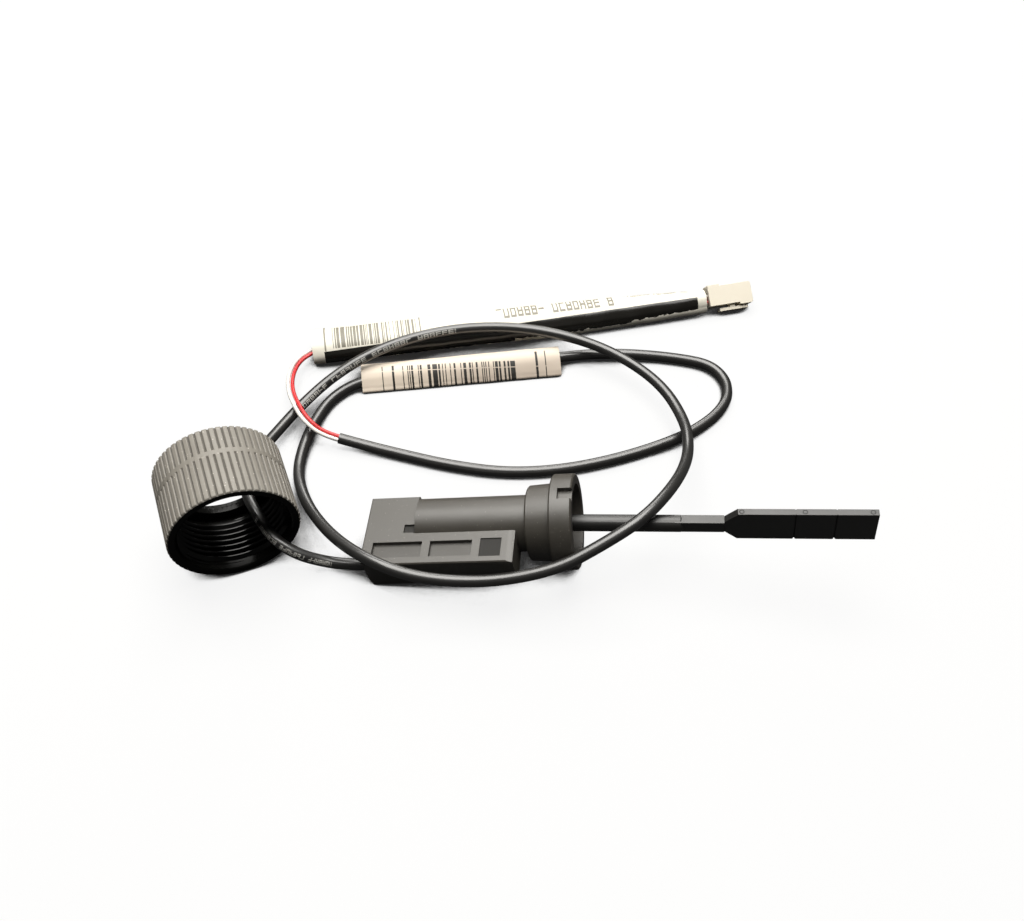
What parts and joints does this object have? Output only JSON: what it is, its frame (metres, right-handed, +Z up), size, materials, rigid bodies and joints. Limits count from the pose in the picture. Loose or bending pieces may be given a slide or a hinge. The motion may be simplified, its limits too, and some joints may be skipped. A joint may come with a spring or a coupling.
{
  "type": "paddle flow switch",
  "caption": "Paddle flow switch on its lead: moulded head with swinging paddle and sealed reed switch, knurled union nut, labelled cable and two-way connector.",
  "frame": {"origin": "on the table, under the middle of the box round the head, paddle and nut", "axes": "+X to the paddle's tip, +Z up, -Y to the side the rail is on"},
  "size_m": [0.2396, 0.1568, 0.0435],
  "materials": {
    "black_moulding": "matte black glass-filled nylon",
    "black_paddle": "satin black acetal",
    "black_nut": "satin black nylon",
    "steel": "bright drawn steel",
    "magnet": "nickel-plated magnet",
    "reed_glass": "clear green glass",
    "board": "green laminate",
    "resin": "cast black resin",
    "cable_jacket": "satin black soft jacket",
    "red_insulation": "glossy red insulation",
    "white_insulation": "glossy white insulation",
    "label_paper": "coated label paper",
    "connector_nylon": "natural nylon",
    "contact_tin": "tinned brass"
  },
  "bodies": {
    "sensor": {"sensor_housing": "black_moulding", "pivot_pin": "steel", "return_magnet": "magnet", "reed_glass": "reed_glass", "reed_lead_front": "steel", "reed_lead_rear": "steel", "reed_board": "board", "red_tail": "red_insulation", "white_tail": "white_insulation", "potting_plug": "resin", "union_nut": "black_nut", "lead_cable": "cable_jacket", "red_core": "red_insulation", "white_core": "white_insulation", "cable_label": "label_paper", "core_label": "label_paper", "connector_housing": "connector_nylon", "red_contact": "contact_tin", "white_contact": "contact_tin"},
    "swing_paddle": {"paddle": "black_paddle", "arm_magnet": "magnet"}
  },
  "joints": [
    {"name": "paddle_swing", "type": "hinge", "parent": "sensor", "child": "swing_paddle", "pos_m": [0.01279, -0.00304, 0.01535], "axis": [-0.175, 0.0146, 0.9845], "range_deg": [-3.5, 5.5], "stiffness_Nm_per_rad": 0.02}
  ]
}
